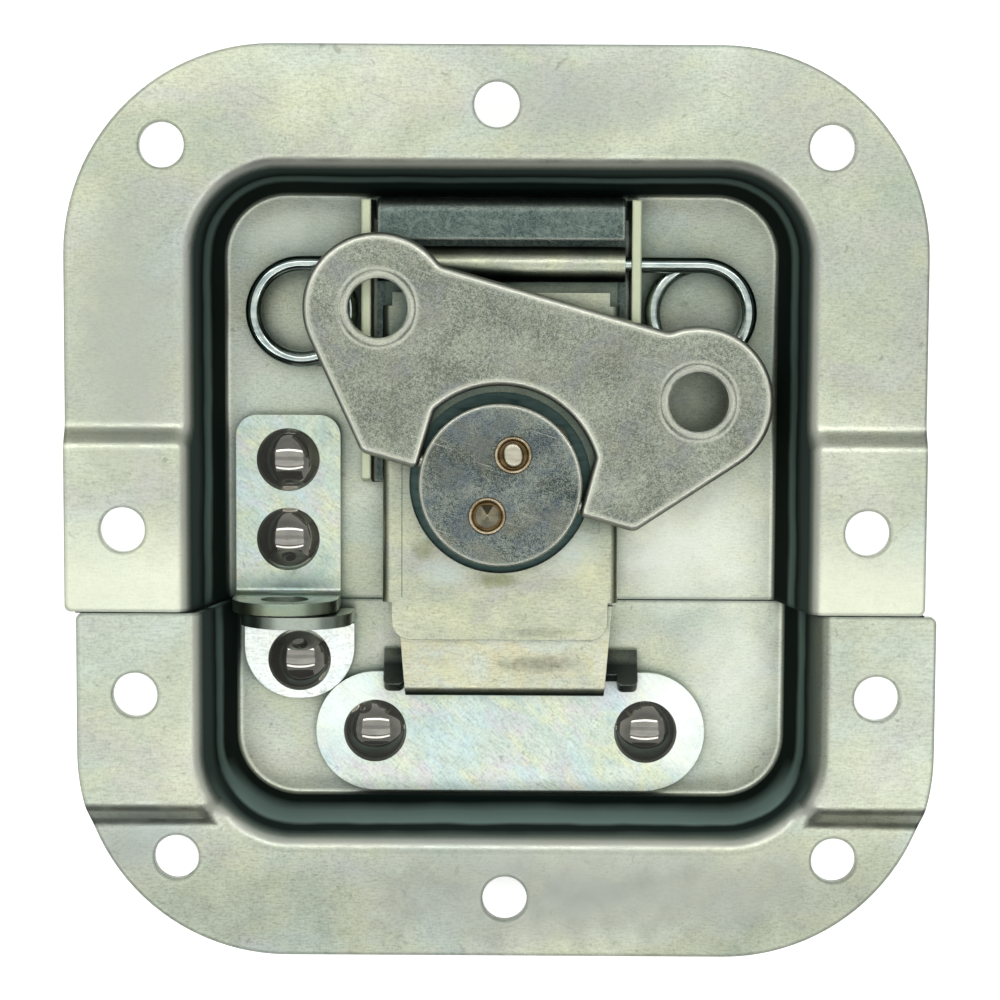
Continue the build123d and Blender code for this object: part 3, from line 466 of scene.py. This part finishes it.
zinc = plated(
    "zinc_dish",
    ((0.44, 0.50, 0.41), (0.52, 0.56, 0.44), (0.66, 0.70, 0.56)),
    20,
    0.36,
    films=dish_films,
    walls=True,
    edge=0.9,
    rim=0.96,
    shine=0.4,
    outline=0.85,
    marks=(
        stain(10.0, 49.0, (14.0, 5.0), 0.45, (0.36, 0.36, 0.36)),
        stain(-43.0, 8.0, (2.5, 9.0), 0.3, VIOLET),
        stain(-46.5, 21.0, (9.0, 18.0), 1.0, (0.42, 0.45, 0.385)),
        stain(13.0, -47.5, (36.0, 8.0), 1.0, (0.42, 0.44, 0.395)),
        stain(-43.0, -41.0, (6.0, 6.0), 0.8, (0.38, 0.43, 0.40)),
        stain(24.5, -5.5, (13.0, 11.0), 0.62, (0.84, 0.87, 0.78)),
        stain(29.5, -24.0, (8.0, 12.0), 0.45, (0.78, 0.82, 0.74)),
        stain(-26.0, 33.5, (8.0, 4.0), 0.45, (0.74, 0.80, 0.74)),
    ),
)
arm_zinc = plated(
    "zinc_arm",
    ((0.44, 0.48, 0.39), (0.50, 0.53, 0.40), (0.60, 0.62, 0.47)),
    9,
    0.36,
    films=((5, 0.35, VIOLET), (4, 0.35, STRAW)),
    seed=7,
    # A wide reach of painted shade under the butterfly
    cover=9.0,
    deep=(0.35, 0.85),
    marks=cover_marks,
)
tongue_zinc = plated(
    "zinc_tongue",
    ((0.52, 0.54, 0.42), (0.60, 0.60, 0.42), (0.66, 0.66, 0.50)),
    5,
    0.36,
    films=((3, 0.4, (0.62, 0.56, 0.40)), (4, 0.4, SKY)),
    seed=9,
    marks=(
        stain(4.5, -20.6, (6.0, 1.3), 0.55, SOOT),
        stain(-7.0, -21.5, (3.0, 1.0), 0.4, STRAW),
        away_from_light(0.35, 0.75, 0.95),
    ),
)
bracket_zinc = plated(
    "zinc_bracket",
    ((0.44, 0.56, 0.50), (0.54, 0.64, 0.54), (0.64, 0.68, 0.52)),
    6,
    0.32,
    films=bright_films,
    lie=40,
    seed=11,
    marks=(
        from_height(4.0, 12.0, 0.8, (0.20, 0.24, 0.15)),
        stain(-27.0, -11.0, (9.0, 2.2), 0.6, (0.22, 0.32, 0.30)),
    ),
)
lug_zinc = plated(
    "zinc_lug",
    ((0.84, 0.92, 0.90), (0.88, 0.94, 0.90), (0.92, 0.94, 0.84)),
    6,
    0.32,
    films=((4, 0.3, SKY),),
    seed=13,
    marks=(from_height(4.0, 12.0, 0.8, (0.24, 0.28, 0.22)),),
)
strike_zinc = plated(
    "zinc_strike",
    ((0.48, 0.59, 0.55), (0.56, 0.65, 0.57), (0.66, 0.72, 0.64)),
    7,
    0.32,
    films=bright_films,
    lie=45,
    seed=17,
    marks=(
        stain(22.5, -27.0, (8.0, 9.0), 0.9, (0.94, 0.97, 0.94)),
        stain(-20.0, -27.0, (6.0, 8.0), 0.7, (0.84, 0.93, 0.92)),
        from_height(2.8, 3.6, 0.85, SOOT),
    ),
)
frame_steel = blasted(
    "zinc_frame",
    (0.03, 0.055, 0.055),
    (0.16, 0.20, 0.175),
    0.40,
    edge=0.5,
    films=((0.8, 0.4, (0.20, 0.26, 0.23)),),
    wear_and_highlight=0.8,
    seed=19,
    ends=16,
)
wing_steel = blasted(
    "wing_steel",
    (0.12, 0.14, 0.115),
    (0.39, 0.42, 0.34),
    0.38,
    edge=1.0,
    rim=0.80,
    films=((5, 0.35, (0.22, 0.225, 0.25)), (3, 0.2, (0.28, 0.27, 0.19))),
    wear_and_highlight=0.8,
    seed=23,
    rims=0.7,
    contrast=0.10,
)
disc_steel = blasted(
    "disc_steel",
    (0.035, 0.05, 0.05),
    (0.27, 0.30, 0.26),
    0.36,
    edge=0.6,
    rim=0.82,
    films=((4.5, 0.45, (0.085, 0.115, 0.15)), (5.5, 0.4, (0.18, 0.175, 0.125))),
    wear_and_highlight=0.55,
    seed=29,
    rims=0.4,
    contrast=0.09,
)
core_steel = polished("core_steel", (0.03, 0.055, 0.05), (0.07, 0.11, 0.10), 0.35)
spring_steel = polished("spring_steel", (0.30, 0.36, 0.35), (0.46, 0.52, 0.48), 0.14)
rivet_steel = polished(
    "rivet_steel",
    (0.24, 0.23, 0.21),
    (0.31, 0.30, 0.27),
    0.05,
    metallic=0.86,
    side_highlight=(0.50, 0.48, 0.43),
)
rivet_copper = polished("rivet_copper", (0.26, 0.20, 0.12), (0.50, 0.42, 0.29), 0.25)
rivet_brown = polished("rivet_brown", (0.07, 0.045, 0.018), (0.15, 0.10, 0.045), 0.35)
rivet_face = polished("rivet_face", (0.34, 0.32, 0.25), (0.50, 0.48, 0.38), 0.30)
rivet_shade = polished("rivet_shade", (0.07, 0.065, 0.045), (0.13, 0.12, 0.09), 0.35)
# A painted shadow for the gap between the dishes
lid_shadow_dark = polished("lid_shadow_dark", (0.012, 0.022, 0.018), (0.03, 0.045, 0.04), 0.5)

worn_by = {
    zinc: ("latch_dish", "keeper_dish"),
    bracket_zinc: ("padlock_bracket_upper",),
    lug_zinc: ("padlock_bracket_lower",),
    frame_steel: ("frame_bracket",),
    strike_zinc: ("strike_plate",),
    arm_zinc: ("arm_base", "arm_cover"),
    tongue_zinc: ("tongue",),
    core_steel: ("rotor_body",),
    wing_steel: ("butterfly",),
    disc_steel: ("rotor_disc",),
    spring_steel: ("spring_wire",),
    rivet_steel: (
        "padlock_rivet_upper_a",
        "padlock_rivet_upper_b",
        "padlock_rivet_lower",
        "strike_rivet_left",
        "strike_rivet_right",
        "frame_rivets",
        "follower_stud",
    ),
    rivet_copper: ("rotor_rivet_front", "rotor_rivet_rear"),
}
for material, names in worn_by.items():
    for name in names:
        slots = nodes[name].data.materials
        slots.clear()
        slots.append(material)


# ---- Detail pieces ----
def new_piece(name, points, faces, tones, skins, body):
    """A mesh piece in millimetres that rides on a body; tones gives each face's place in
    skins."""
    mesh = bpy.data.meshes.new(name)
    mesh.from_pydata([[axis * MM for axis in point] for point in points], [], faces)
    for skin in skins:
        mesh.materials.append(skin)
    for index, face in enumerate(mesh.polygons):
        face.use_smooth = True
        face.material_index = tones[index]
    mesh.validate()
    mesh.update()
    piece = bpy.data.objects.new(name, mesh)
    bpy.context.scene.collection.objects.link(piece)
    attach(piece, body)
    return piece


def turned(name, spot, profile, sides, skins, body, slot):
    """A turned form: profile holds (radius, height, tone, shape) in millimetres, tone being a
    place in skins and shape giving the radius and the height at each angle."""
    points, faces, tones = [], [], []
    for radius, height, _, shape in profile:
        for side in range(sides):
            angle = 2 * pi * side / sides
            out, up = shape(radius, height, angle) if shape else (radius, height)
            points.append((spot[0] + out * cos(angle), spot[1] + out * sin(angle), up))
    for ring in range(len(profile) - 1):
        for side in range(sides):
            after = (side + 1) % sides
            faces.append(
                (
                    ring * sides + side,
                    (ring + 1) * sides + side,
                    (ring + 1) * sides + after,
                    ring * sides + after,
                )
            )
            tones.append(profile[ring][2])
    for ring, step in ((0, 1), (len(profile) - 1, -1)):
        faces.append(tuple(ring * sides + side for side in range(sides))[::step])
        tones.append(profile[min(ring, len(profile) - 2)][2])
    return new_piece(name, points, faces, tones, skins, body)


BUTTON_STRETCH = 0.13
BUTTON_LEAN = radians(100)
FACET = pi / 3
FACET_SLOPE = 0.8
SHADED_FACET = 1  # counted from X
PIT_FLOOR = 0.05  # a face nearer the axis than this lies on no one facet
RIVET_SIDES = 48


def oval(radius, height, angle):
    """The raised button is a little longer one way, leaning off the square."""
    return radius * (1 + BUTTON_STRETCH * cos(2 * (angle - BUTTON_LEAN))), height


def faceted(radius, height, angle):
    """The punch left six flat facets, so height is the bottom of the pit."""
    return radius, height + FACET_SLOPE * radius * cos((angle % FACET) - FACET / 2)


COPPER, FACE, BROWN, SHADE = range(4)
rivet_skins = (rivet_copper, rivet_face, rivet_brown, rivet_shade)
rear_rivet = nodes["rotor_rivet_rear"]
rivet_top = max((rear_rivet.matrix_world @ v.co).z for v in rear_rivet.data.vertices) / MM
shank_foot = 8.3
shank = (
    (1.58, shank_foot, COPPER, None),
    (1.58, rivet_top - 0.36, COPPER, None),
    (2.22, rivet_top - 0.36, COPPER, None),
)
collar = (
    (2.30, rivet_top - 0.34, COPPER, None),
    (2.35, rivet_top - 0.22, COPPER, None),
    (2.30, rivet_top - 0.08, COPPER, None),
    (2.15, rivet_top, COPPER, None),
    (1.98, rivet_top - 0.03, COPPER, None),
    (1.90, rivet_top - 0.12, BROWN, None),
    (1.74, rivet_top - 0.34, BROWN, None),
)
button = (
    (1.44, rivet_top - 0.34, BROWN, oval),
    (1.30, rivet_top - 0.14, FACE, oval),
    (1.14, rivet_top - 0.05, FACE, oval),
    (0.80, rivet_top - 0.03, FACE, oval),
    (0.05, rivet_top - 0.02, FACE, None),
)
crater = (
    (1.62, rivet_top - 0.36, BROWN, None),
    (1.48, rivet_top - 0.34, BROWN, None),
    (1.42, rivet_top - 1.44, FACE, faceted),
    (0.80, rivet_top - 1.44, FACE, faceted),
    (0.10, rivet_top - 1.44, FACE, faceted),
)


def rivet_head(name, node, middle_form):
    """A rivet's head over its CAD node's place: the collar, and what is inside it."""
    corners = [nodes[node].matrix_world @ v.co for v in nodes[node].data.vertices]
    ends = [(min(c[axis] for c in corners), max(c[axis] for c in corners)) for axis in (0, 1)]
    spot = [sum(pair) / 2 / MM for pair in ends]
    profile = shank + collar + middle_form
    head = turned(name, spot, profile, RIVET_SIDES, rivet_skins, "rotor", "rivet_copper")
    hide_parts(node)
    return head, spot


rivet_head("rivet_rear_head", "rotor_rivet_rear", button)
front_head, front_spot = rivet_head("rivet_front_head", "rotor_rivet_front", crater)
# One of the pit's six flat facets takes a painted shade
for face in front_head.data.polygons:
    if face.material_index == FACE:
        face.use_smooth = False
        out = Vector(face.center.xy) / MM - Vector(front_spot)
        if out.length > PIT_FLOOR:
            facet = int((out.angle_signed(Vector((1, 0))) + 2 * pi) / FACET) % 6
            face.material_index = SHADE if facet == SHADED_FACET else FACE


SEAM_FACING = -0.9  # an end face's normal has a Y below this
SEAM_REACH = 0.01 * MM  # and it lies this near the latch dish's end
SEAM_DEPTH = 0.13 * MM
SEAM_SHIFT = Vector((0.6 * MM, -0.01 * MM, -0.05 * MM))


def lid_line_shadow():
    """A dark sheet standing in for the shadow in the gap where the two dishes meet, a painted
    shadow, grown from the latch dish's end faces.
    """
    form = bmesh.new()
    form.from_mesh(nodes["latch_dish"].data)
    end = min(v.co.y for v in form.verts)
    others = [
        face for face in form.faces
        if face.normal.y > SEAM_FACING or abs(face.calc_center_median().y - end) > SEAM_REACH
    ]
    bmesh.ops.delete(form, geom=others, context="FACES")
    grown = bmesh.ops.extrude_face_region(form, geom=form.faces[:])["geom"]
    for item in grown:
        if isinstance(item, bmesh.types.BMVert):
            item.co.y -= SEAM_DEPTH
    for item in form.verts:
        item.co += SEAM_SHIFT
    bmesh.ops.recalc_face_normals(form, faces=form.faces[:])
    mesh = bpy.data.meshes.new("lid_line_shadow")
    form.to_mesh(mesh)
    form.free()
    mesh.materials.append(lid_shadow_dark)
    piece = bpy.data.objects.new("lid_line_shadow", mesh)
    bpy.context.scene.collection.objects.link(piece)
    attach(piece, "dishes")


lid_line_shadow()


# ---- Floor and light ----
FLOOR_HALF = 3.0
FLOOR_DROP = 0.2 * MM
FLOOR_TONE = 0.86
FLOOR_GLOW = 0.72  # with the lamps, it brings the floor to white in the camera's view
TENT_LEVEL = 0.42
TENT_TINT = (0.97, 1.0, 0.97, 1)
OPENING_LEVEL = 0.03
# The opening in the tent, as a direction's Y, X and Z
OPENING_AHEAD = -0.55
OPENING_HALF = 0.55
OPENING_FOOT = 0.30
# Name, place in metres, size in metres and power in watts of each lamp
LAMPS = (
    ("strip_far", (0, 0.182, 0.36), (0.62, 0.038), 0.42),
    ("strip_near", (0, -0.180, 0.36), (0.62, 0.038), 0.30),
    ("ceiling_far", (0, 0.120, 0.40), (0.70, 0.12), 0.21),
    ("ceiling_near", (0, -0.080, 0.40), (0.70, 0.12), 0.25),
    ("ceiling_middle", (0, 0.020, 0.42), (0.70, 0.09), 0.09),
)
low, high = cad_box
latch_middle = (Vector(low) + Vector(high)) / 2


def floor_material():
    """A matte pale floor that the camera, and the metal's reflections, see as white."""
    skin = Finish("floor_white")
    path = skin.node("ShaderNodeLightPath")
    seen = skin.math("MAXIMUM", path.outputs["Is Camera Ray"], path.outputs["Is Glossy Ray"])
    seen = skin.math("MAXIMUM", seen, path.outputs["Is Transmission Ray"])
    tone = (FLOOR_TONE, FLOOR_TONE, FLOOR_TONE, 1)
    matte = skin.node("ShaderNodeBsdfDiffuse", {"Color": tone})
    glow = skin.node("ShaderNodeEmission", {"Color": (1, 1, 1, 1)})
    skin.tree.links.new(skin.math("MULTIPLY", seen, FLOOR_GLOW), glow.inputs["Strength"])
    both = skin.node("ShaderNodeAddShader", {0: matte.outputs[0], 1: glow.outputs[0]})
    out = skin.node("ShaderNodeOutputMaterial")
    skin.tree.links.new(both.outputs[0], out.inputs["Surface"])
    return skin.material


def flat_sheet(name, half, height):
    """A level square sheet round the origin."""
    mesh = bpy.data.meshes.new(name)
    turns = ((-1, -1), (1, -1), (1, 1), (-1, 1))
    mesh.from_pydata([(x * half, y * half, height) for x, y in turns], [], [(0, 1, 2, 3)])
    sheet = bpy.data.objects.new(name, mesh)
    bpy.context.scene.collection.objects.link(sheet)
    return sheet


floor = flat_sheet("floor", FLOOR_HALF, low[2] - FLOOR_DROP)
floor.data.materials.append(floor_material())


def area_light(name, spot, size, power):
    """A soft light over the latch, facing its middle."""
    lamp = bpy.data.lights.new(name, "AREA")
    lamp.shape = "RECTANGLE"
    lamp.size, lamp.size_y = size
    lamp.energy = power
    light = bpy.data.objects.new(name, lamp)
    bpy.context.scene.collection.objects.link(light)
    light.location = spot
    light.rotation_euler = (latch_middle - Vector(spot)).to_track_quat("-Z", "Y").to_euler()


for lamp_row in LAMPS:
    area_light(*lamp_row)


def tent_light():
    """An even light all round, with the tent's dark opening towards the near side."""
    world = bpy.data.worlds.new("tent")
    world.use_nodes = True
    tree = world.node_tree
    shine = tree.nodes["Background"]
    way = tree.nodes.new("ShaderNodeTexCoord").outputs["Generated"]
    parts = tree.nodes.new("ShaderNodeSeparateXYZ")
    tree.links.new(way, parts.inputs[0])

    def math(operation, first, second):
        node = tree.nodes.new("ShaderNodeMath")
        node.operation = operation
        for socket, value in zip(node.inputs, (first, second)):
            if isinstance(value, bpy.types.NodeSocket):
                tree.links.new(value, socket)
            else:
                socket.default_value = value
        return node.outputs[0]

    ahead = math("LESS_THAN", parts.outputs["Y"], OPENING_AHEAD)
    inside = math("LESS_THAN", math("ABSOLUTE", parts.outputs["X"], 0.0), OPENING_HALF)
    above = math("GREATER_THAN", parts.outputs["Z"], OPENING_FOOT)
    dark = math("MULTIPLY", math("MULTIPLY", ahead, inside), above)
    level = math("SUBTRACT", TENT_LEVEL, math("MULTIPLY", dark, TENT_LEVEL - OPENING_LEVEL))
    tree.links.new(level, shine.inputs["Strength"])
    shine.inputs["Color"].default_value = TENT_TINT
    return world


bpy.context.scene.world = tent_light()
bpy.context.scene.view_settings.view_transform = "Standard"

# ---- Camera ----
# Its place, aim, roll and lens were fitted to the photograph.
eye = Vector((1.21, 29.21, 339.96)) * MM
aim = Vector((-0.1, 0.8, 15.2)) * MM
roll = radians(0.28)
ahead = (aim - eye).normalized()
across = ahead.cross(Vector((0, 1, 0))).normalized()
upward = across.cross(ahead)
facing = Matrix((across, upward, -ahead)).transposed().to_4x4()
camera_data = bpy.data.cameras.new("camera")
camera_data.sensor_width = 36.0
camera_data.lens = 96.12
camera_data.clip_start = 0.01
camera_data.clip_end = 20.0
camera = bpy.data.objects.new("camera", camera_data)
camera.matrix_world = Matrix.Translation(eye) @ facing @ Matrix.Rotation(roll, 4, "Z")
bpy.context.scene.collection.objects.link(camera)
bpy.context.scene.camera = camera
